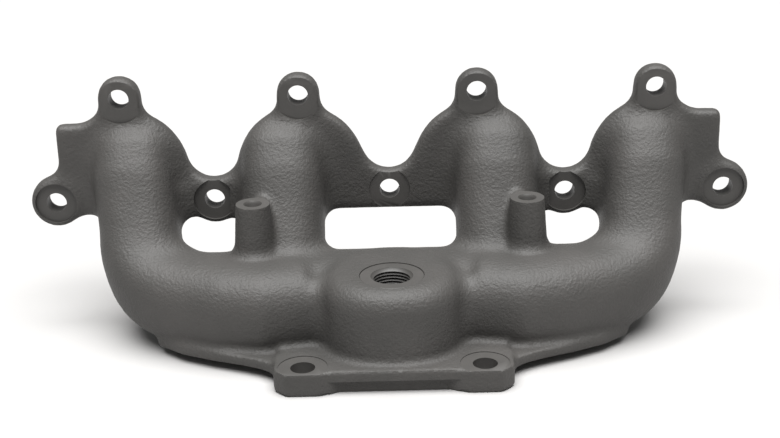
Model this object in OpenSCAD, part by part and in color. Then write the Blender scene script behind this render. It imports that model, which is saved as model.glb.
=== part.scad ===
// Four-port exhaust manifold: a bare grey-iron casting, drawn as the sections it is designed in.
// X runs along the cylinder head, +Y points at the head and +Z up. The origin is the centre of
// the gas outlet on its gasket face, so the outlet flange stands on Z = 0.

/* [Ports and runners] */
// Distance from the middle of the head to each inner port
inner_port_x = 49.5; // [46:0.5:62]
// Distance from the middle of the head to each outer port
outer_port_x = 118; // [112:0.5:145]
// Height of the port centres above the outlet face
port_z = 79.5; // [76:0.5:100]
// Bore of a port and of its runner
port_d = 33; // [26:0.5:36]
// Wall of the runners and the collector
wall = 4; // [3:0.25:6]
// Centreline radius of the bend at the foot of an outer runner
runner_bend_r = 30; // [26:1:36]

/* [Head flange] */
// Distance of the head gasket face from the outlet centre
head_y = 72; // [66:1:90]
// Thickness of the head flange
flange_t = 9; // [7:0.5:14]
// Least flange wall kept round each port
port_land = 2; // [1:0.25:4]
// Distance between neighbouring upper bolts
upper_bolt_pitch = 84; // [80:0.5:100]
// Height of the upper bolts above the port centres
upper_bolt_rise = 30; // [28:0.5:36]
// Distance of the lower bolts below the port centres
lower_bolt_drop = 20.6; // [20:0.2:26]
// Distance of the middle lower bolt below the port centres
middle_bolt_drop = 17.6; // [16:0.2:20]
// Distance from the outer lower bolts to the nearest upper bolts, along the head
outer_bolt_reach = 34; // [32:0.5:44]
// Clearance hole for an M8 head stud
head_bolt_d = 9.6; // [8.4:0.1:11]
// Radius of an upper bolt lug
upper_lug_r = 9.8; // [9:0.2:14]
// Radius of a lower bolt lug
lower_lug_r = 12.4; // [11:0.2:16]
// Depth of the spot face round a lower bolt
spot_depth = 0.6; // [0.3:0.1:1.5]
// Radius of the flange lobe behind a port
lobe_r = 29.5; // [28:0.5:34]
// Height of the flat tab at each end of the flange
end_tab_h = 46; // [36:1:56]

/* [Collector] */
// Height of the collector's centreline above the outlet face
collector_z = 24; // [23:0.5:30]
// Distance of the collector's rear tube from the outlet centre
collector_y = 26; // [22:0.5:32]
// Radius of the upright chamber over the outlet
chamber_r = 28; // [26:0.5:34]
// Height of the flat top of the chamber
chamber_z = 44; // [42:0.5:52]

/* [Outlet flange] */
// Distance between neighbouring outlet bolts
outlet_bolt_pitch = 80; // [76:0.5:90]
// Bore of the gas outlet
outlet_d = 37; // [30:0.5:40]
// Thickness of the outlet flange
outlet_t = 11; // [9:0.5:14]
// Clearance hole for an M10 outlet stud
outlet_bolt_d = 11; // [10.5:0.1:13]
// Half width of an outlet bolt lug
outlet_lug_w = 13; // [12:0.5:16]
// Distance from the front bolts to the front face of their lugs
outlet_lug_front = 7.6; // [7:0.2:14]
// Depth of the relief under the front edge
relief_depth = 2.6; // [1:0.2:4]

/* [Threaded bosses] */
// Minor diameter of the M18 x 1.5 sensor thread
sensor_thread_d = 16.4; // [12:0.1:17]
// Outer diameter of the sensor boss
sensor_boss_d = 29; // [24:0.5:34]
// Length of the sensor thread
sensor_boss_h = 10; // [8:0.5:14]
// Minor diameter of the M8 heat shield thread
shield_thread_d = 6.8; // [5:0.1:8.5]
// Depth of the heat shield thread
shield_thread_h = 15; // [10:0.5:18]
// Diameter of a heat shield boss at its top
shield_boss_d = 15.6; // [14:0.2:20]
// Distance of each heat shield boss from the middle
shield_boss_x = 62.8; // [60:0.5:66]
// Distance of the heat shield bosses from the outlet centre
shield_boss_y = 29.8; // [26:0.5:34]
// Height of the heat shield bosses above the outlet face
shield_boss_z = 68.2; // [62:0.5:76]

/* [Side ribs] */
// Height of a side rib's upper edge above the outlet face
rib_z = 9; // [8:0.5:10]
// Thickness of a side rib
rib_t = 4.5; // [3:0.5:6]

/* [Hidden] */
$fn = 96;

iron = [0.33, 0.32, 0.31];
machined_iron = [0.42, 0.41, 0.40];

// How far a cut runs past the face that it goes through
cut = 1;
// Longer than the part in any direction
beyond = 400;

runner_r = port_d / 2 + wall;
bore_r = port_d / 2;

// Head flange
flange_y = head_y - flange_t;
upper_bolt_z = port_z + upper_bolt_rise;
lower_bolt_z = port_z - lower_bolt_drop;
middle_bolt_z = port_z - middle_bolt_drop;
inner_bolt_x = upper_bolt_pitch / 2;
outer_bolt_x = upper_bolt_pitch * 1.5;
end_bolt_x = outer_bolt_x + outer_bolt_reach;
spot_r = 9.7;
lobe_z = port_z - 7;
web_bottom = lower_bolt_z - 8.5;
valley_r = 12.5;
valley_bottom = lower_bolt_z + 9.8;
middle_valley_bottom = middle_bolt_z + 9.3;
tab_x = end_bolt_x - 3;
tab_top = port_z + 17.3;

// Runner centrelines: from the port down to the knee, then into the collector
port_y = head_y - 6;
knee_y = collector_y + 10;
merge_x = 40;
merge_y = collector_y - 21;
// Straight lengths that make up the bend at the foot of an outer runner
bend_steps = 3;
// How much wider than its bars a joint in a runner is
joint_swell = 0.25;
// Where the outer runners end and the collector begins
runner_end_x = inner_port_x + 34.5;
// Where the inner runners end and the collector begins
leg_end_z = collector_z + runner_r + 3.5;

// Outlet flange
front_bolt_y = -outlet_bolt_pitch / sqrt(12);
rear_bolt_y = outlet_bolt_pitch / sqrt(3);
lug_front_y = front_bolt_y - outlet_lug_front;
edge_front_y = lug_front_y + 2.6;
lug_inner_x = outlet_bolt_pitch / 2 - outlet_lug_w + 1.5;
lug_outer_x = outlet_bolt_pitch / 2 + outlet_lug_w;
lug_chamfer = 5.5;
relief_h = 6;
chamber_y = 5;

// Threaded bosses
sensor_y = -1.2;
sensor_mouth_d = sensor_thread_d + 2.6;
sensor_top_z = chamber_z - 0.5;
shield_mouth_d = shield_thread_d + 1.7;
mouth_h = 1.3;
shield_boss_taper = 3.4;

function unit(v) = v / norm(v);

// Lays its children, which are drawn up the Z axis, from point p towards point q
module along(p, q) {
  d = q - p;
  translate(p) rotate([0, acos(d.z / norm(d)), atan2(d.y, d.x)]) children();
}

module bar(p, q, r) {
  along(p, q) cylinder(r = r, h = norm(q - p));
}

// Points on the arc of radius bend_r that rounds the corner at b, from a's side to c's
function arc_points(a, b, c, bend_r, steps) =
  let (
    back = unit(a - b),
    on = unit(c - b),
    half = acos(back * on) / 2,
    centre = b + unit(back + on) * bend_r / sin(half),
    start = b + back * bend_r / tan(half),
    ex = unit(start - centre),
    turn = (180 - 2 * half) / steps
  )
  [for (i = [0 : steps]) centre + bend_r * (cos(i * turn) * ex - sin(i * turn) * back)];

// A round bar of radius r along a chain of points, with a ball at each of them
module chain(points, r) {
  for (p = points) translate(p) sphere(r = r + joint_swell);
  for (i = [1 : len(points) - 1]) bar(points[i - 1], points[i], r);
}

// Draws its children twice, the second time mirrored to the other side
module both_sides() {
  children();
  mirror([1, 0, 0]) children();
}

// Turns a shape drawn in X and Z, and extruded upwards, to run from y towards the head
module facing_head(y) {
  translate([0, y, 0]) mirror([0, 1, 0]) rotate([90, 0, 0]) children();
}

// The material on one side of a plane: from x outwards, and below or above z
module from_x(x) {
  translate([x, -beyond / 2, -beyond / 2]) cube(beyond);
}

module above_z(z) {
  translate([-beyond / 2, -beyond / 2, z]) cube(beyond);
}

module behind_flange_face() {
  translate([-beyond / 2, flange_y, -beyond / 2]) cube(beyond);
}

// The solid wall that closes the back of the runners below their ports
module rear_wall() {
  translate([-beyond / 2, flange_y - wall, port_z - bore_r - beyond]) cube(beyond);
}

// Head flange ---------------------------------------------------------------

module upper_bolt_points() {
  both_sides() {
    translate([inner_bolt_x, upper_bolt_z]) children();
    translate([outer_bolt_x, upper_bolt_z]) children();
  }
}

module lower_bolt_points() {
  both_sides() {
    translate([upper_bolt_pitch, lower_bolt_z]) children();
    translate([end_bolt_x, lower_bolt_z]) children();
  }
  translate([0, middle_bolt_z]) children();
}

module port_points() {
  both_sides() {
    translate([inner_port_x, port_z]) children();
    translate([outer_port_x, port_z]) children();
  }
}

// The flange's outline behind one port, up to its bolt lug
module flange_lobe(x) {
  translate([x, lobe_z]) circle(r = lobe_r);
  translate([x, upper_bolt_z]) circle(r = upper_lug_r);
  translate([x - upper_lug_r, lobe_z]) square([2 * upper_lug_r, upper_bolt_z - lobe_z]);
}

// The dip in the flange's upper edge between two lobes
module valley(x, bottom) {
  translate([x, bottom + valley_r]) circle(r = valley_r);
  translate([x - valley_r, bottom + valley_r]) square([2 * valley_r, beyond]);
}

module flange_outline() {
  difference() {
    union() {
      translate([-tab_x, web_bottom]) square([2 * tab_x, lobe_z - web_bottom]);
      both_sides() {
        flange_lobe(inner_bolt_x);
        flange_lobe(outer_bolt_x);
        translate([outer_bolt_x, tab_top - end_tab_h]) square([tab_x - outer_bolt_x, end_tab_h]);
      }
    }
    translate([-beyond / 2, web_bottom - beyond]) square(beyond);
    valley(0, middle_valley_bottom);
    valley(upper_bolt_pitch, valley_bottom);
    valley(-upper_bolt_pitch, valley_bottom);
  }
  both_sides() {
    translate([upper_bolt_pitch, lower_bolt_z]) circle(r = lower_lug_r);
    translate([end_bolt_x, lower_bolt_z]) circle(r = lower_lug_r);
  }
  port_points() circle(r = bore_r + port_land);
}

module head_flange() {
  color(iron) difference() {
    facing_head(flange_y) linear_extrude(flange_t) flange_outline();
    facing_head(flange_y - cut) linear_extrude(cut + spot_depth)
      lower_bolt_points() circle(r = spot_r);
    facing_head(flange_y - cut) linear_extrude(flange_t + 2 * cut) {
      lower_bolt_points() circle(d = head_bolt_d);
      upper_bolt_points() circle(d = head_bolt_d);
      port_points() circle(r = bore_r);
    }
  }
}

// Runners and collector -----------------------------------------------------

// An outer runner as a solid bar of radius r, on the right-hand side
module outer_run(r) {
  port = [outer_port_x, port_y, port_z];
  knee = [outer_port_x, knee_y, collector_z];
  merge = [merge_x, merge_y, collector_z];
  chain(concat([port], arc_points(port, knee, merge, runner_bend_r, bend_steps), [merge]), r);
}

// An inner runner as a solid bar of radius r, on the right-hand side
module inner_run(r) {
  chain([[inner_port_x, port_y, port_z], [inner_port_x, knee_y, collector_z]], r);
}

// The collector's rear tube, which joins all four runners
module rear_tube(r) {
  translate([-runner_end_x - cut, collector_y, collector_z]) rotate([0, 90, 0])
    cylinder(r = r, h = 2 * (runner_end_x + cut));
}

module outer_runner() {
  color(iron) difference() {
    intersection() {
      outer_run(runner_r);
      from_x(runner_end_x);
    }
    difference() {
      outer_run(bore_r);
      rear_wall();
    }
    behind_flange_face();
  }
}

module inner_runner() {
  color(iron) difference() {
    intersection() {
      inner_run(runner_r);
      above_z(leg_end_z);
    }
    difference() {
      inner_run(bore_r);
      rear_wall();
    }
    behind_flange_face();
  }
}

module runner_1() {
  mirror([1, 0, 0]) outer_runner();
}

module runner_2() {
  mirror([1, 0, 0]) inner_runner();
}

module runner_3() {
  inner_runner();
}

module runner_4() {
  outer_runner();
}

// Everything that the collector is made from, as solid bars, with its walls taken in by inset
module collector_shape(inset) {
  rear_tube(runner_r - inset);
  both_sides() {
    outer_run(runner_r - inset);
    inner_run(runner_r - inset);
  }
  translate([0, chamber_y, outlet_t]) cylinder(r = chamber_r - inset, h = chamber_z - inset - outlet_t);
}

module collector() {
  color(iron) difference() {
    collector_shape(0);
    difference() {
      collector_shape(wall);
      rear_wall();
    }
    both_sides() from_x(runner_end_x);
    above_z(leg_end_z);
    behind_flange_face();
    linear_extrude(outlet_t) outlet_outline();
    translate([0, sensor_y, chamber_z - wall - cut]) cylinder(d = sensor_boss_d, h = wall + 2 * cut);
  }
}

// Outlet flange -------------------------------------------------------------

module outlet_bolt_points() {
  both_sides() translate([outlet_bolt_pitch / 2, front_bolt_y]) children();
  translate([0, rear_bolt_y]) children();
}

// The right-hand edge of the outlet flange, from its front round to the rear lug
outlet_edge = [
  [lug_inner_x, edge_front_y],
  [lug_inner_x + 4, lug_front_y],
  [lug_outer_x - lug_chamfer, lug_front_y],
  [lug_outer_x, lug_front_y + lug_chamfer],
  [lug_outer_x, front_bolt_y + outlet_lug_w],
  [outlet_lug_w * cos(30), rear_bolt_y + outlet_lug_w * sin(30)]
];

module outlet_outline() {
  last = len(outlet_edge) - 1;
  polygon(concat(outlet_edge, [for (i = [last : -1 : 0]) [-outlet_edge[i].x, outlet_edge[i].y]]));
  translate([0, rear_bolt_y]) circle(r = outlet_lug_w);
}

module outlet_flange() {
  color(iron) difference() {
    linear_extrude(outlet_t) outlet_outline();
    translate([0, 0, -cut]) cylinder(d = outlet_d, h = outlet_t + 2 * cut);
    translate([0, 0, -cut]) linear_extrude(outlet_t + 2 * cut) outlet_bolt_points()
      circle(d = outlet_bolt_d);
    translate([-lug_inner_x, lug_front_y - cut, -cut])
      cube([2 * lug_inner_x, edge_front_y - lug_front_y + cut + relief_depth, relief_h + cut]);
  }
}

// Bosses --------------------------------------------------------------------

module oxygen_sensor_boss() {
  color(machined_iron) difference() {
    translate([0, sensor_y, sensor_top_z - sensor_boss_h]) cylinder(d = sensor_boss_d, h = sensor_boss_h);
    translate([0, sensor_y, sensor_top_z - sensor_boss_h - cut])
      cylinder(d = sensor_thread_d, h = sensor_boss_h + 2 * cut);
    translate([0, sensor_y, sensor_top_z - mouth_h])
      cylinder(d1 = sensor_thread_d, d2 = sensor_mouth_d, h = mouth_h);
  }
}

module heat_shield_boss() {
  color(iron) difference() {
    translate([shield_boss_x, shield_boss_y, collector_z])
      cylinder(
        d1 = shield_boss_d + shield_boss_taper, d2 = shield_boss_d, h = shield_boss_z - collector_z
      );
    translate([shield_boss_x, shield_boss_y, shield_boss_z - shield_thread_h])
      cylinder(d = shield_thread_d, h = shield_thread_h + cut);
    translate([shield_boss_x, shield_boss_y, shield_boss_z - mouth_h])
      cylinder(d1 = shield_thread_d, d2 = shield_mouth_d, h = mouth_h);
    rear_tube(runner_r);
    inner_run(runner_r);
    outer_run(runner_r);
  }
}

module heat_shield_boss_left() {
  mirror([1, 0, 0]) heat_shield_boss();
}

module heat_shield_boss_right() {
  heat_shield_boss();
}

// Side ribs -----------------------------------------------------------------

// The right-hand rib: a thin ledge from the outlet flange round under the outer runner
module side_rib() {
  color(iron) difference() {
    translate([0, 0, rib_z - rib_t]) linear_extrude(rib_t) polygon([
      [lug_outer_x - cut, front_bolt_y + outlet_lug_w],
      [lug_outer_x - cut, front_bolt_y + 5],
      [lug_outer_x + 6, front_bolt_y + 11],
      [lug_outer_x + 14, front_bolt_y + 15],
      [lug_outer_x + 29, front_bolt_y + 21],
      [lug_outer_x + 43, front_bolt_y + 29],
      [lug_outer_x + 53, front_bolt_y + 39],
      [lug_outer_x + 40, collector_y],
      [lug_outer_x, collector_y - 12]
    ]);
    linear_extrude(outlet_t) outlet_outline();
    outer_run(runner_r);
    rear_tube(runner_r);
  }
}

module side_rib_left() {
  mirror([1, 0, 0]) side_rib();
}

module side_rib_right() {
  side_rib();
}

head_flange();
runner_1();
runner_2();
runner_3();
runner_4();
collector();
outlet_flange();
oxygen_sensor_boss();
heat_shield_boss_left();
heat_shield_boss_right();
side_rib_left();
side_rib_right();
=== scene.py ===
import bpy
import math
from mathutils import Matrix, Vector


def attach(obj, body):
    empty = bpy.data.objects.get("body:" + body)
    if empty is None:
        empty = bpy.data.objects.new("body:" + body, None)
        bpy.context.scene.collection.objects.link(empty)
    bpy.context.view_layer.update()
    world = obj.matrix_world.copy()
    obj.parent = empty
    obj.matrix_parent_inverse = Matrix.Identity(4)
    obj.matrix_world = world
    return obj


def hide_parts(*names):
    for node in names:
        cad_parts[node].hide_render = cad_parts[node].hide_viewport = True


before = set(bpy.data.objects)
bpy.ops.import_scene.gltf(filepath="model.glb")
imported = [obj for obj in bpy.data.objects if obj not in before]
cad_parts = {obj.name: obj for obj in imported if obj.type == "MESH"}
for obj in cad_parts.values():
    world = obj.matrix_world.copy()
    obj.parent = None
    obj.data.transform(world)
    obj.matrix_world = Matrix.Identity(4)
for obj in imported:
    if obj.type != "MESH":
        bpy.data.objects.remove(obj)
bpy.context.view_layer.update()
mm = 0.001


# Working helpers

def deselectAll():
    if bpy.context.object and bpy.context.object.mode != "OBJECT":
        bpy.ops.object.mode_set(mode="OBJECT")
    bpy.ops.object.select_all(action="DESELECT")


def makeActive(obj):
    deselectAll()
    obj.select_set(True)
    bpy.context.view_layer.objects.active = obj
    return obj


def applyModifier(obj, kind, **settings):
    makeActive(obj)
    modifier = obj.modifiers.new(kind.lower(), kind)
    for key, value in settings.items():
        setattr(modifier, key, value)
    bpy.ops.object.modifier_apply(modifier=modifier.name)
    return obj


def editAll(obj, action):
    makeActive(obj)
    bpy.ops.object.mode_set(mode="EDIT")
    bpy.ops.mesh.select_all(action="SELECT")
    action()
    bpy.ops.object.mode_set(mode="OBJECT")


def faceOutwards(obj):
    editAll(obj, lambda: bpy.ops.mesh.normals_make_consistent(inside=False))


def settle(obj):
    # the finished piece keeps its place in its mesh
    makeActive(obj)
    bpy.ops.object.transform_apply(location=True, rotation=True, scale=True)
    return obj


def joined(name, objs):
    deselectAll()
    for obj in objs:
        obj.select_set(True)
    bpy.context.view_layer.objects.active = objs[0]
    bpy.ops.object.join()
    objs[0].name = name
    return objs[0]


def mirrored(obj):
    # a copy with its own mesh, on the other side of the middle plane
    copy = obj.copy()
    copy.data = obj.data.copy()
    bpy.context.collection.objects.link(copy)
    copy.data.transform(Matrix.Scale(-1, 4, (1, 0, 0)))
    faceOutwards(copy)
    return copy


def keepSide(obj, point, normal, finish=None):
    # drops what lies on the normal's side of an axis-aligned plane, with a big block
    deselectAll()
    block = 0.8
    centre = Vector(point) * mm + Vector(normal) * block / 2
    bpy.ops.mesh.primitive_cube_add(size=block, location=centre)
    cutter = settle(bpy.context.object)
    cutter.data.materials.append(finish or sandCastIron)
    return subtract(obj, cutter)


def dropSpecks(obj):
    # a cut that grazes the rippled skin can leave a loose sliver: only the body is kept
    name = obj.name
    makeActive(obj)
    bpy.ops.object.mode_set(mode="EDIT")
    bpy.ops.mesh.select_all(action="SELECT")
    bpy.ops.mesh.separate(type="LOOSE")
    bpy.ops.object.mode_set(mode="OBJECT")
    islands = sorted(bpy.context.selected_objects, key=lambda o: len(o.data.vertices))
    for speck in islands[:-1]:
        bpy.data.objects.remove(speck)
    islands[-1].name = name
    return islands[-1]


def duplicate(obj, name):
    copy = obj.copy()
    copy.data = obj.data.copy()
    copy.name = name
    bpy.context.collection.objects.link(copy)
    return copy


def rod(name, start, end, radius, endRadius=None, sides=72):
    # a turned length between two points, in mm
    deselectAll()
    a, b = Vector(start) * mm, Vector(end) * mm
    bpy.ops.mesh.primitive_cone_add(
        vertices=sides, radius1=radius * mm, depth=(b - a).length,
        radius2=(radius if endRadius is None else endRadius) * mm, location=(a + b) / 2,
        rotation=(b - a).to_track_quat("Z", "Y").to_euler())
    obj = bpy.context.object
    obj.name = name
    return settle(obj)


def setRing(obj, places, nearest):
    # puts the selected ring of an edit-mode mesh on new places, keeping its order
    bpy.ops.object.mode_set(mode="OBJECT")
    for vert in obj.data.vertices:
        if vert.select:
            k = min(range(len(nearest)), key=lambda i: (vert.co - nearest[i]).length_squared)
            vert.co = places[k]
    bpy.ops.object.mode_set(mode="EDIT")


def lofted(name, rings):
    # one face, extruded from ring to ring
    count = len(rings[0])
    deselectAll()
    bpy.ops.mesh.primitive_circle_add(vertices=count, radius=1, fill_type="NGON")
    obj = bpy.context.object
    obj.name = name
    for k in range(count):
        obj.data.vertices[k].co = rings[0][k]
    bpy.ops.object.mode_set(mode="EDIT")
    bpy.ops.mesh.select_mode(type="FACE")
    bpy.ops.mesh.select_all(action="SELECT")
    for last, ring in zip(rings, rings[1:]):
        bpy.ops.mesh.extrude_region_move()
        setRing(obj, ring, last)
    bpy.ops.object.mode_set(mode="OBJECT")
    faceOutwards(obj)
    return obj


def slab(name, outline, axis, low, high):
    # a flat outline given in mm, drawn in plan (axis "z") or seen from the front (axis "y")
    def at(p, level):
        return Vector((p[0], p[1], level) if axis == "z" else (p[0], level, p[1])) * mm
    return lofted(name, [[at(p, low) for p in outline], [at(p, high) for p in outline]])


def ductRing(centre, forward, up, halfWidth, halfHeight, squareness, count=44):
    # rounded-rectangle section of a duct, square to the way it runs
    forward = Vector(forward).normalized()
    side = forward.cross(Vector(up)).normalized()
    top = side.cross(forward).normalized()
    power = 2 / squareness
    ring = []
    for k in range(count):
        turn = 2 * math.pi * k / count
        c, s = math.cos(turn), math.sin(turn)
        ring.append((Vector(centre)
                     + side * math.copysign(abs(c) ** power, c) * halfWidth
                     + top * math.copysign(abs(s) ** power, s) * halfHeight) * mm)
    return ring


def subtract(obj, cutter, keep=False, operation="DIFFERENCE"):
    applyModifier(obj, "BOOLEAN", operation=operation, object=cutter, solver="MANIFOLD")
    if not keep:
        bpy.data.objects.remove(cutter)
    return obj


# Materials

def toLinear(hexColour):
    parts = [int(hexColour[i:i + 2], 16) / 255 for i in (1, 3, 5)]
    return tuple(c / 12.92 if c <= 0.04045 else ((c + 0.055) / 1.055) ** 2.4
                 for c in parts) + (1,)


def addNode(tree, kind, settings=None, links=None):
    # settings name sockets or properties, links feed a socket from another node's output
    node = tree.nodes.new(kind)
    for key, value in (settings or {}).items():
        if key in node.inputs:
            node.inputs[key].default_value = value
        else:
            setattr(node, key, value)
    for key, output in (links or {}).items():
        tree.links.new(output, node.inputs[key])
    return node


def ironMaterial(name, finish):
    material = bpy.data.materials.new(name)
    material.use_nodes = True
    tree = material.node_tree
    tree.nodes.clear()
    place = addNode(tree, "ShaderNodeTexCoord").outputs["Object"]
    grain = addNode(tree, "ShaderNodeTexNoise", {
        "Scale": 1000 / finish["grainMm"], "Detail": 3.0, "Roughness": 0.55}, {"Vector": place})
    pebble = addNode(tree, "ShaderNodeTexNoise", {
        "Scale": 1000 / finish["pebbleMm"], "Detail": 2.0, "Roughness": 0.5}, {"Vector": place})
    bloom = addNode(tree, "ShaderNodeTexNoise", {
        "Scale": 1000 / finish["bloomMm"], "Detail": 4.0, "Roughness": 0.6}, {"Vector": place})
    tone = addNode(tree, "ShaderNodeValToRGB", {}, {"Fac": bloom.outputs["Fac"]})
    tone.color_ramp.elements[0].position = 0.3
    tone.color_ramp.elements[0].color = toLinear(finish["dark"])
    tone.color_ramp.elements[1].position = 0.72
    tone.color_ramp.elements[1].color = toLinear(finish["light"])
    rough = addNode(tree, "ShaderNodeMapRange", {
        "To Min": finish["roughness"] - 0.06, "To Max": finish["roughness"] + 0.08},
        {"Value": grain.outputs["Fac"]})
    pebbleBump = addNode(tree, "ShaderNodeBump", {
        "Strength": 1.0, "Distance": finish["pebbleDepthMm"] * mm},
        {"Height": pebble.outputs["Fac"]})
    grainBump = addNode(tree, "ShaderNodeBump", {
        "Strength": 1.0, "Distance": finish["grainDepthMm"] * mm},
        {"Height": grain.outputs["Fac"], "Normal": pebbleBump.outputs["Normal"]})
    shader = addNode(tree, "ShaderNodeBsdfPrincipled", {
        "Metallic": finish["metallic"], "Specular IOR Level": finish["specular"]},
        {"Base Color": tone.outputs["Color"], "Roughness": rough.outputs["Result"],
         "Normal": grainBump.outputs["Normal"]})
    addNode(tree, "ShaderNodeOutputMaterial", {}, {"Surface": shader.outputs["BSDF"]})
    return material


# as-cast grey iron: a dry, sandy skin that spreads light softly and never glints
sandCastIron = ironMaterial("sandCastIron", {
    "dark": "#383735", "light": "#42403e", "grainMm": 0.55, "grainDepthMm": 0.1,
    "pebbleMm": 1.3, "pebbleDepthMm": 0.36, "bloomMm": 38, "roughness": 0.58,
    "metallic": 0.0, "specular": 0.5})
# milled grey iron, dulled with age: flatter and a shade brighter than the skin
milledIron = ironMaterial("milledIron", {
    "dark": "#3c3b39", "light": "#464442", "grainMm": 0.5, "grainDepthMm": 0.02,
    "pebbleMm": 5.0, "pebbleDepthMm": 0.02, "bloomMm": 20, "roughness": 0.5,
    "metallic": 0.0, "specular": 0.5})
print("materials ready")


# The duct bodies, as solid bars with rounded-rectangle sections

runner = {
    "outerX": 121.2, "outerDrift": 2.6, "driftFromZ": 66, "driftToZ": 47, "innerX": 50.7,
    "legHalfWidth": 18.9, "innerHalfWidth": 19.6, "halfWidth": 21.2, "halfDepth": 20.5,
    "squareness": 2.5, "rearFaceY": 63.5,
}
bore = {
    "radius": 15.2, "wallY": 59, "portZ": 79.5, "portX": (49.5, 118), "portRadius": 16.5,
    "portFrontY": 62, "tubeEndX": 88, "tubeY": 26, "tubeZ": 24, "chamberRadius": 24,
    "chamberY": 5, "chamberLowZ": 13, "chamberHighZ": 39.5, "outletRadius": 18.5,
}

# centre (y, z) and the way each leg points, from the port down to the collector
legPath = [
    ((84, 80), (-1, -0.05)), ((72, 79.5), (-1, -0.2)), ((66, 76), (-0.85, -0.55)),
    ((61.5, 68), (-0.62, -0.8)), ((56.5, 57), (-0.5, -0.866)), ((51, 47), (-0.5, -0.866)),
    ((45.5, 37.5), (-0.5, -0.866)),
]


def outerLegX(z):
    # the outer legs drift inwards on their way down
    k = runner
    share = (k["driftFromZ"] - z) / (k["driftFromZ"] - k["driftToZ"])
    return k["outerX"] - k["outerDrift"] * min(1, max(0, share))


def outerPath():
    # down the leg, round the knee and along to the chamber, as (centre, forward)
    leg = [(Vector((outerLegX(z), y, z)), Vector((0, a, b)).normalized())
           for (y, z), (a, b) in legPath[:-1]]
    start, heading = leg[-1]
    end, exitWay = Vector((92, 25.5, 24)), Vector((-0.92, -0.39, 0))
    path = list(leg)
    span = (end - start).length
    for k in range(1, 10):  # smooth curve through the knee
        t = k / 9
        h00, h10 = 2 * t ** 3 - 3 * t ** 2 + 1, t ** 3 - 2 * t ** 2 + t
        h01, h11 = -2 * t ** 3 + 3 * t ** 2, t ** 3 - t ** 2
        pull = span * 1.22
        centre = start * h00 + heading * (h10 * pull) + end * h01 + exitWay * (h11 * pull)
        d00, d10 = 6 * t ** 2 - 6 * t, 3 * t ** 2 - 4 * t + 1
        d01, d11 = -6 * t ** 2 + 6 * t, 3 * t ** 2 - 2 * t
        way = start * d00 + heading * (d10 * pull) + end * d01 + exitWay * (d11 * pull)
        path.append((centre, way.normalized()))
    path.append((Vector((74, 17.5, 24)), Vector((-0.92, -0.3, 0)).normalized()))
    path.append((Vector((58, 14, 24)), Vector((-1, -0.05, 0)).normalized()))
    path.append((Vector((40, 18, 24)), Vector((-1, 0.2, 0)).normalized()))
    return path


def innerPath():
    x = runner["innerX"]
    return [(Vector((x, y, z)), Vector((0, a, b)).normalized())
            for (y, z), (a, b) in legPath + [((38, 26), (-0.5, -0.866))]]


def ductAlong(name, path, legHalfWidth, halfWidth, halfDepth, squareness):
    rings = []
    for centre, way in path:
        lean = min(1, max(0, abs(way.x) / 0.9))  # the leg's front turns into the duct's top
        up = Vector((0, -0.86, 0.5)).lerp(Vector((0, 0, 1)), lean)
        if abs(way.z) < 0.35 and abs(way.x) < 0.3:
            up = Vector((0, 0, 1))
        width = legHalfWidth + (halfWidth - legHalfWidth) * lean
        rings.append(ductRing(centre, way, up, width, halfDepth, squareness))
    return lofted(name, rings)


outerDuct = ductAlong("outerDuct", outerPath(), runner["legHalfWidth"], runner["halfWidth"],
                      runner["halfDepth"], runner["squareness"])
innerDuct = ductAlong("innerDuct", innerPath(), runner["innerHalfWidth"],
                      runner["innerHalfWidth"], runner["halfDepth"], runner["squareness"])
for duct in (outerDuct, innerDuct):
    keepSide(duct, (0, runner["rearFaceY"], 0), (0, 1, 0))
ducts = [outerDuct, innerDuct, mirrored(outerDuct), mirrored(innerDuct)]
print("ducts lofted")

collectorBlock = {"topZ": 43.6, "bottomZ": 4, "frontY": -4, "rearY": 44, "endX": 92}
chamber = {"halfWidth": 32, "frontY": -24, "rearY": 40, "bottomZ": 4, "topZ": 44.4,
           "squareness": 2.35, "topEdgeRadius": 9.5}


def collectorTube():
    # a flat-topped duct along the head, from one knee to the other
    k = collectorBlock
    midY, midZ = (k["frontY"] + 12 + k["rearY"]) / 2, (k["topZ"] + k["bottomZ"]) / 2
    halfY, halfZ = (k["rearY"] - k["frontY"] - 12) / 2 + 1.5, (k["topZ"] - k["bottomZ"]) / 2
    rings = [ductRing((x, midY, midZ), (1, 0, 0), (0, 0, 1), halfY, halfZ, 2.8)
             for x in (-k["endX"], -45, 0, 45, k["endX"])]
    return lofted("collectorTube", rings)


def chamberBulge():
    # upright chamber over the outlet, its top edge rounded in steps
    k = chamber
    midY, halfY = (k["frontY"] + k["rearY"]) / 2, (k["rearY"] - k["frontY"]) / 2
    rings, roundness = [], k["topEdgeRadius"]
    levels = [(k["bottomZ"], 0)]
    for step in range(7):
        turn = step / 6 * math.pi / 2
        levels.append((k["topZ"] - roundness + roundness * math.sin(turn),
                       roundness - roundness * math.cos(turn)))
    for z, inset in levels:
        rings.append(ductRing((0, midY, z), (0, 0, 1), (0, 1, 0), k["halfWidth"] - inset,
                              halfY - inset, k["squareness"]))
    return lofted("chamberBulge", rings)


# Flange outlines, seen from the front and in plan

headFlange = {
    "frontY": 63, "rearY": 72, "upperBolts": (42, 126), "upperZ": 109.5, "upperLug": 10.2,
    "lowerBolts": (84, 160), "lowerZ": 58.9, "lowerLug": 12.4, "middleZ": 61.9,
    "lobeRadius": 30.4, "lobeZ": 72.5, "webBottom": 51.6, "tabX": 157.6, "tabTop": 96.8,
    "studRadius": 4.8, "upperSpot": 11.6, "lowerSpot": 9.9, "middleSpot": 9.8,
    "valleyRadius": 12.5, "valleyZ": 68.4, "middleValleyZ": 70.8, "webTop": 80,
}


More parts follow.
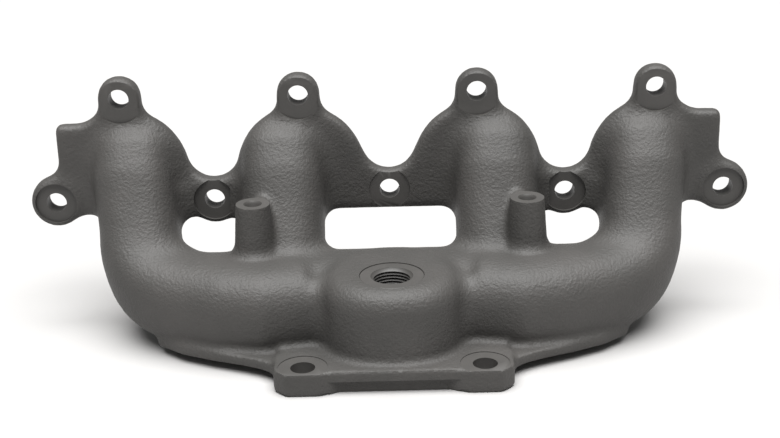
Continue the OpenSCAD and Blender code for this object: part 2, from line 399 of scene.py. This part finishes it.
def flangeParts():
    k = headFlange
    low, high = k["frontY"], k["rearY"]
    parts = [slab("web", [(-k["tabX"], k["webBottom"]), (k["tabX"], k["webBottom"]),
                          (k["tabX"], k["webTop"]), (-k["tabX"], k["webTop"])], "y", low, high)]
    for side in (-1, 1):
        for x in k["upperBolts"]:
            x *= side
            parts.append(rod("lobe", (x, low, k["lobeZ"]), (x, high, k["lobeZ"]), k["lobeRadius"]))
            parts.append(rod("lug", (x, low - 0.8, k["upperZ"]), (x, high, k["upperZ"]),
                             k["upperLug"]))
            parts.append(slab("neck", [(x - k["upperLug"], 80), (x + k["upperLug"], 80),
                                       (x + k["upperLug"], k["upperZ"]),
                                       (x - k["upperLug"], k["upperZ"])], "y", low, high))
        for x in k["lowerBolts"]:
            x *= side
            parts.append(rod("lug", (x, low - 1.6, k["lowerZ"]), (x, high, k["lowerZ"]),
                             k["lowerLug"]))
        a, b = sorted((side * 126, side * k["tabX"]))
        parts.append(slab("tab", [(a, k["webBottom"]), (b, k["webBottom"]), (b, k["tabTop"]),
                                  (a, k["tabTop"])], "y", low, high))
    return parts


def flangeWithScallops():
    # the lobes overlap, so they are fused before the dips and the underside are cut
    plate = joined("headPlate", flangeParts())
    applyModifier(plate, "REMESH", mode="VOXEL", voxel_size=0.0012)
    k = headFlange
    cuts = []
    for x, z in ((-84, k["valleyZ"]), (84, k["valleyZ"]), (0, k["middleValleyZ"])):
        r = k["valleyRadius"]
        cuts.append(rod("dip", (x, 50, z + r), (x, 90, z + r), r))
        cuts.append(slab("dipTop", [(x - r, z + r), (x + r, z + r), (x + r, 140), (x - r, 140)],
                         "y", 50, 90))
    dips = joined("dips", cuts)
    applyModifier(dips, "REMESH", mode="VOXEL", voxel_size=0.0012)
    subtract(plate, dips)
    under = []
    for a, b in ((-147.6, -96.4), (-71.6, 71.6), (96.4, 147.6)):
        under.append(slab("under", [(a, 20), (b, 20), (b, k["webBottom"]), (a, k["webBottom"])],
                          "y", 50, 90))
    subtract(plate, joined("under", under))
    return plate


outletFlange = {
    "topZ": 11, "bolts": ((-40, -23.09), (40, -23.09), (0, 46.19)), "boltRadius": 5.5,
    "spotRadius": 11, "spotZ": 10.6, "studTopZ": 30,
    "reliefMouthX": 46, "reliefMouthY": -40, "reliefX": 24.5, "reliefY": -26.6, "reliefZ": 6.2,
}
outletOutline = [(-28.5, -29.2), (28.5, -29.2), (32.5, -30.7), (47.5, -30.7), (53, -25.2),
                 (53, -10.1), (46, 2), (11.3, 52.7), (8, 57), (0, 59.2), (-8, 57), (-11.3, 52.7),
                 (-46, 2), (-53, -10.1), (-53, -25.2), (-47.5, -30.7), (-32.5, -30.7)]
ribOutline = [(50, 12), (50, -18.5), (53, -17.2), (59.6, -11.8), (67.4, -7.9), (81.8, -2.1),
              (96.6, 5.2), (108.5, 15), (110, 21), (102, 27), (80, 26)]
rib = {"lowZ": 4.2, "highZ": 9.2}
shieldBoss = {"x": 62.8, "y": 29.8, "topZ": 68.2, "topRadius": 7.8, "footRadius": 9.9, "footZ": 40,
              "flareRadius": 12, "flareTopZ": 51, "flareFootZ": 43, "stock": 1.5,
              "threadRadius": 3.4, "mouthRadius": 4.3, "threadBottomZ": 53.2}


def fineSolids():
    # what keeps a crisp edge: the outlet flange, the ribs and the upright bosses
    parts = [slab("outletPlate", outletOutline, "z", 0, outletFlange["topZ"])]
    right = slab("rib", ribOutline, "z", rib["lowZ"], rib["highZ"])
    parts += [right, mirrored(right)]
    k = shieldBoss
    boss = rod("boss", (k["x"], k["y"], k["footZ"]), (k["x"], k["y"], k["topZ"] + k["stock"]),
               k["footRadius"], k["topRadius"])
    flare = rod("flare", (k["x"], k["y"], k["flareFootZ"]), (k["x"], k["y"], k["flareTopZ"]),
                k["flareRadius"], k["topRadius"])
    parts += [boss, mirrored(boss), flare, mirrored(flare)]
    return parts


def castFillets(obj, k):
    # swell the body, fuse it, then draw it back in, which only fills inner corners
    applyModifier(obj, "REMESH", mode="VOXEL", voxel_size=k["firstVoxel"] * mm)
    applyModifier(obj, "SMOOTH", factor=0.5, iterations=k["firstSoftening"])
    applyModifier(obj, "DISPLACE", strength=k["radius"] * mm, mid_level=0.0)
    applyModifier(obj, "REMESH", mode="VOXEL", voxel_size=k["voxel"] * mm)
    applyModifier(obj, "SMOOTH", factor=0.5, iterations=k["firstSoftening"])
    applyModifier(obj, "DISPLACE", strength=-k["radius"] * mm, mid_level=0.0)
    applyModifier(obj, "REMESH", mode="VOXEL", voxel_size=k["fineVoxel"] * mm)
    applyModifier(obj, "SMOOTH", factor=0.5, iterations=k["softening"])
    print("fillets drawn", k["radius"], "mm", len(obj.data.polygons), "faces")


broadFillet = {"radius": 5.0, "firstVoxel": 1.3, "voxel": 1.3, "fineVoxel": 1.1,
               "firstSoftening": 4, "softening": 3}
fineFillet = {"radius": 1.4, "firstVoxel": 0.9, "voxel": 0.9, "fineVoxel": 0.95,
              "firstSoftening": 1, "softening": 1}
casting = joined("casting", ducts + [collectorTube(), chamberBulge(), flangeWithScallops()])
castFillets(casting, broadFillet)
casting = joined("casting", [casting] + fineSolids())
castFillets(casting, fineFillet)

# the mould's sand leaves shallow waves all over the skin
skin = {"waveMm": 2.4, "waveDepthMm": 0.14}
sandWaves = bpy.data.textures.new("sandWaves", "CLOUDS")
sandWaves.noise_scale = skin["waveMm"] * mm
sandWaves.noise_depth = 1
applyModifier(casting, "DISPLACE", strength=skin["waveDepthMm"] * mm, mid_level=0.5,
              texture=sandWaves, texture_coords="GLOBAL")
casting.data.materials.clear()
casting.data.materials.append(sandCastIron)

# the gasket faces are skimmed: the cut only meets the skin's high spots, so much of each face
# keeps its ripples, and to mill them flat the body needs spare metal past both planes
keepSide(casting, (0, headFlange["rearY"], 0), (0, 1, 0), milledIron)
keepSide(casting, (0, 0, 0), (0, 0, -1), milledIron)
# nothing below the head flange reaches back past its front
behind = slab("behind", [(-150, 60.9), (150, 60.9), (150, 100), (-150, 100)], "z", -5, 45.8)
behind.data.materials.append(sandCastIron)
subtract(casting, behind)
print("gasket faces skimmed")


# Machining tools

def tool(obj):
    obj.data.materials.clear()
    obj.data.materials.append(milledIron)
    return obj


def gasPassages():
    radius = bore["radius"]
    parts = []
    for path in (outerPath(), innerPath()):
        duct = ductAlong("passage", path, radius, radius, radius, 2)
        keepSide(duct, (0, bore["wallY"], 0), (0, 1, 0))
        parts += [duct, mirrored(duct)]
    b = bore
    parts.append(rod("passage", (-b["tubeEndX"], b["tubeY"], b["tubeZ"]),
                     (b["tubeEndX"], b["tubeY"], b["tubeZ"]), radius))
    parts.append(rod("passage", (0, b["chamberY"], b["chamberLowZ"]),
                     (0, b["chamberY"], b["chamberHighZ"]), b["chamberRadius"]))
    parts.append(rod("passage", (0, 0, -6), (0, 0, 20), b["outletRadius"]))
    for x in (-b["portX"][1], -b["portX"][0], b["portX"][0], b["portX"][1]):
        parts.append(rod("passage", (x, b["portFrontY"], b["portZ"]), (x, 80, b["portZ"]),
                         b["portRadius"]))
    passages = joined("passages", parts)
    applyModifier(passages, "REMESH", mode="VOXEL", voxel_size=0.0012)
    applyModifier(passages, "SMOOTH", factor=0.5, iterations=4)
    passages.data.materials.clear()
    passages.data.materials.append(sandCastIron)
    return passages


def headTools():
    k = headFlange
    tools = []
    spots = [(s * x, k["upperZ"], k["upperSpot"], k["frontY"]) for s in (-1, 1) for x in k["upperBolts"]]
    spots += [(s * x, k["lowerZ"], k["lowerSpot"], k["frontY"] + 0.4) for s in (-1, 1)
              for x in k["lowerBolts"]]
    spots.append((0, k["middleZ"], k["middleSpot"], k["frontY"] + 0.9))
    for x, z, radius, faceY in spots:
        tools.append(tool(rod("spot", (x, 40, z), (x, faceY, z), radius)))
        tools.append(tool(rod("stud", (x, 38, z), (x, 80, z), k["studRadius"])))
    return tools


def otherTools():
    tools = []
    k = outletFlange
    # the cutters run up past the flange, so the rear one also slots the collector's back wall
    # and just opens its passage: a lower studTopZ would stop it short
    for x, y in k["bolts"]:
        tools.append(tool(rod("stud", (x, y, -6), (x, y, k["studTopZ"]), k["boltRadius"])))
        if y < 0:
            tools.append(tool(rod("spot", (x, y, k["spotZ"]), (x, y, 32), k["spotRadius"])))
    k = shieldBoss
    for side in (-1, 1):
        x, y = side * k["x"], k["y"]
        tools.append(tool(rod("thread", (x, y, k["threadBottomZ"]), (x, y, 80),
                              k["threadRadius"])))
        tools.append(tool(rod("mouth", (x, y, k["topZ"] - 1.2), (x, y, k["topZ"] + 0.01),
                              k["threadRadius"], k["mouthRadius"])))
        tools.append(tool(rod("faceTop", (x, y, k["topZ"]), (x, y, k["topZ"] + 8), 9.2)))
    return tools


# Split at the design's section planes while the body is still solid

sections = {"flangeY": 61, "runnerEndX": 84, "legEndZ": 48, "bossRadius": 12, "bossLowZ": 47.5,
            "bossHighZ": 75}
pieces = {}


def part(source, name, *planes):
    obj = duplicate(source, name)
    for point, normal in planes:
        keepSide(obj, point, normal)
    pieces[name] = obj


y, x, z = sections["flangeY"], sections["runnerEndX"], sections["legEndZ"]
part(casting, "headFlangePlate", ((0, y, 0), (0, -1, 0)))
front = duplicate(casting, "front")
keepSide(front, (0, y, 0), (0, 1, 0))

# the bosses and the outlet flange come out round their own outlines
bossRegion = joined("bossRegion", [
    rod("region", (s * shieldBoss["x"], shieldBoss["y"], sections["bossLowZ"]),
        (s * shieldBoss["x"], shieldBoss["y"], sections["bossHighZ"]), sections["bossRadius"])
    for s in (-1, 1)])
bosses = duplicate(front, "bosses")
subtract(bosses, bossRegion, keep=True, operation="INTERSECT")
subtract(front, bossRegion)
part(bosses, "shieldBossLeft", ((0, 0, 0), (1, 0, 0)))
part(bosses, "shieldBossRight", ((0, 0, 0), (-1, 0, 0)))
bpy.data.objects.remove(bosses)

outletRegion = slab("outletRegion", [(px * 1.025, py * 1.025 - 0.6) for px, py in outletOutline],
                    "z", -3, outletFlange["topZ"] - 1)
outletPiece = duplicate(front, "outletFlangePlate")
subtract(outletPiece, outletRegion, keep=True, operation="INTERSECT")
pieces["outletFlangePlate"] = outletPiece
subtract(front, outletRegion)

ribRegionRight = slab("ribRegion", [(54.2, -9), (54.2, -30), (90, -22), (125, 12), (112, 30),
                                    (104, 22), (93, 11.5), (80, 4.5), (66, -1.5)], "z", 2.5, 10)
ribRegion = joined("ribRegion", [ribRegionRight, mirrored(ribRegionRight)])
ribs = duplicate(front, "ribs")
subtract(ribs, ribRegion, keep=True, operation="INTERSECT")
subtract(front, ribRegion)
part(ribs, "sideRibLeft", ((0, 0, 0), (1, 0, 0)))
part(ribs, "sideRibRight", ((0, 0, 0), (-1, 0, 0)))
bpy.data.objects.remove(ribs)

part(front, "runnerOne", ((-x, 0, 0), (1, 0, 0)))
part(front, "runnerFour", ((x, 0, 0), (-1, 0, 0)))
middle = duplicate(front, "middle")
keepSide(middle, (x, 0, 0), (1, 0, 0))
keepSide(middle, (-x, 0, 0), (-1, 0, 0))
part(middle, "collectorBody", ((0, 0, z), (0, 0, 1)))
part(middle, "runnerTwo", ((0, 0, z), (0, 0, -1)), ((0, 0, 0), (1, 0, 0)))
part(middle, "runnerThree", ((0, 0, z), (0, 0, -1)), ((0, 0, 0), (-1, 0, 0)))
for obj in (middle, front, casting):
    bpy.data.objects.remove(obj)
print("sections split")

# Hollow and machine each section
passages = gasPassages()
for name in ("headFlangePlate", "outletFlangePlate", "runnerOne", "runnerTwo", "runnerThree",
             "runnerFour", "collectorBody"):
    subtract(pieces[name], passages, keep=True)
bpy.data.objects.remove(passages)
print("passages cored")

for toolObj in headTools():
    subtract(pieces["headFlangePlate"], toolObj)
sensorPlace = {"y": -1.2, "topZ": 44.1, "outerRadius": 14.5, "height": 10, "mouthRadius": 9.5,
               "majorRadius": 9.0, "minorRadius": 8.2, "pitch": 1.5}
for toolObj in otherTools():
    for name in ("outletFlangePlate", "collectorBody", "shieldBossLeft", "shieldBossRight"):
        subtract(pieces[name], toolObj, keep=True)
    bpy.data.objects.remove(toolObj)
k = sensorPlace
subtract(pieces["collectorBody"], tool(rod("sensorSeat", (0, k["y"], k["topZ"] - k["height"]),
                                           (0, k["y"], 60), k["outerRadius"] + 0.05, sides=96)))
k = outletFlange
relief = slab("relief", [(-k["reliefMouthX"], k["reliefMouthY"]),
                         (k["reliefMouthX"], k["reliefMouthY"]), (k["reliefX"], k["reliefY"]),
                         (-k["reliefX"], k["reliefY"])], "z", -3, k["reliefZ"])
subtract(pieces["outletFlangePlate"], relief)
print("holes machined")


def sensorBoss():
    # the section is one closed outline, spun round the hole, with the thread as rings
    k = sensorPlace
    top, bottom = k["topZ"], k["topZ"] - k["height"]
    outline = [(k["outerRadius"], bottom), (k["outerRadius"], top - 0.35),
               (k["outerRadius"] - 0.35, top), (k["mouthRadius"], top),
               (k["majorRadius"], top - 0.9)]
    level = top - 0.9
    while level - k["pitch"] > bottom + 0.2:
        outline += [(k["minorRadius"], level - 0.55), (k["minorRadius"], level - 0.75),
                    (k["majorRadius"], level - 1.3), (k["majorRadius"], level - k["pitch"])]
        level -= k["pitch"]
    outline.append((k["majorRadius"], bottom))
    deselectAll()
    bpy.ops.mesh.primitive_circle_add(vertices=len(outline), radius=1, fill_type="NOTHING")
    obj = bpy.context.object
    obj.name = "sensorBossRing"
    for vert, (r, height) in zip(obj.data.vertices, outline):
        vert.co = Vector((r, k["y"], height)) * mm
    bpy.ops.object.mode_set(mode="EDIT")
    bpy.ops.mesh.select_all(action="SELECT")
    bpy.ops.mesh.spin(steps=96, angle=2 * math.pi, center=(0, k["y"] * mm, 0), axis=(0, 0, 1))
    bpy.ops.mesh.select_all(action="SELECT")
    bpy.ops.mesh.remove_doubles(threshold=1e-6)
    bpy.ops.object.mode_set(mode="OBJECT")
    faceOutwards(obj)
    obj.data.materials.append(milledIron)
    return obj


pieces["sensorBossRing"] = sensorBoss()
print("sensor boss spun")

standsFor = {
    "headFlangePlate": "head_flange", "runnerOne": "runner_1", "runnerTwo": "runner_2",
    "runnerThree": "runner_3", "runnerFour": "runner_4", "collectorBody": "collector",
    "outletFlangePlate": "outlet_flange", "sensorBossRing": "oxygen_sensor_boss",
    "shieldBossLeft": "heat_shield_boss_left", "shieldBossRight": "heat_shield_boss_right",
    "sideRibLeft": "side_rib_left", "sideRibRight": "side_rib_right",
}
for name, node in standsFor.items():
    piece = makeActive(dropSpecks(pieces[name]))
    bpy.ops.object.shade_smooth_by_angle(angle=math.radians(38))
    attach(piece, "root")
    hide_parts(node)
    print(name, len(piece.data.polygons), "faces")


# Studio

studio = {"floorHex": "#aaa9a8", "worldLevel": 0.22, "sunLevel": 7.6, "sunWidth": 60, "lean": 10,
          "floorSize": 12, "floorY": 2}


def floorMaterial():
    # matt paper sweep: near white, no gloss
    material = bpy.data.materials.new("paperSweep")
    material.use_nodes = True
    shader = material.node_tree.nodes["Principled BSDF"]
    shader.inputs["Base Color"].default_value = toLinear(studio["floorHex"])
    shader.inputs["Roughness"].default_value = 0.9
    return material


deselectAll()
bpy.ops.mesh.primitive_plane_add(size=studio["floorSize"], location=(0, studio["floorY"], 0))
floor = bpy.context.object
floor.name = "paperFloor"
floor.data.materials.append(floorMaterial())

world = bpy.data.worlds.new("studioAir")
bpy.context.scene.world = world
world.use_nodes = True
world.node_tree.nodes["Background"].inputs["Color"].default_value = (1, 1, 1, 1)
world.node_tree.nodes["Background"].inputs["Strength"].default_value = studio["worldLevel"]


# one broad softbox overhead, leaning a little to the front and even over the whole sweep
lamp = bpy.data.lights.new("overheadSoftbox", "SUN")
lamp.energy = studio["sunLevel"]
lamp.angle = math.radians(studio["sunWidth"])
lampObj = bpy.data.objects.new("overheadSoftbox", lamp)
bpy.context.collection.objects.link(lampObj)
lampObj.rotation_euler = (math.radians(studio["lean"]), 0, 0)

bpy.context.scene.view_settings.view_transform = "Standard"

# Camera
lens = {"focal": 69.23, "tilt": 20.88, "roll": 1.41, "place": (-0.17, -613.95, 304.68)}
tilt, roll = math.radians(lens["tilt"]), math.radians(lens["roll"])
forward = Vector((0, math.cos(tilt), -math.sin(tilt)))
upright = Vector((1, 0, 0)).cross(forward)
right = Vector((1, 0, 0)) * math.cos(roll) - upright * math.sin(roll)
upright = Vector((1, 0, 0)) * math.sin(roll) + upright * math.cos(roll)
cameraData = bpy.data.cameras.new("studioCamera")
cameraData.lens = lens["focal"]
cameraData.sensor_width = 36
camera = bpy.data.objects.new("studioCamera", cameraData)
bpy.context.collection.objects.link(camera)
turn = Matrix((right, upright, -forward)).transposed().to_4x4()
camera.matrix_world = Matrix.Translation(Vector(lens["place"]) * mm) @ turn
bpy.context.scene.camera = camera
print("studio set")
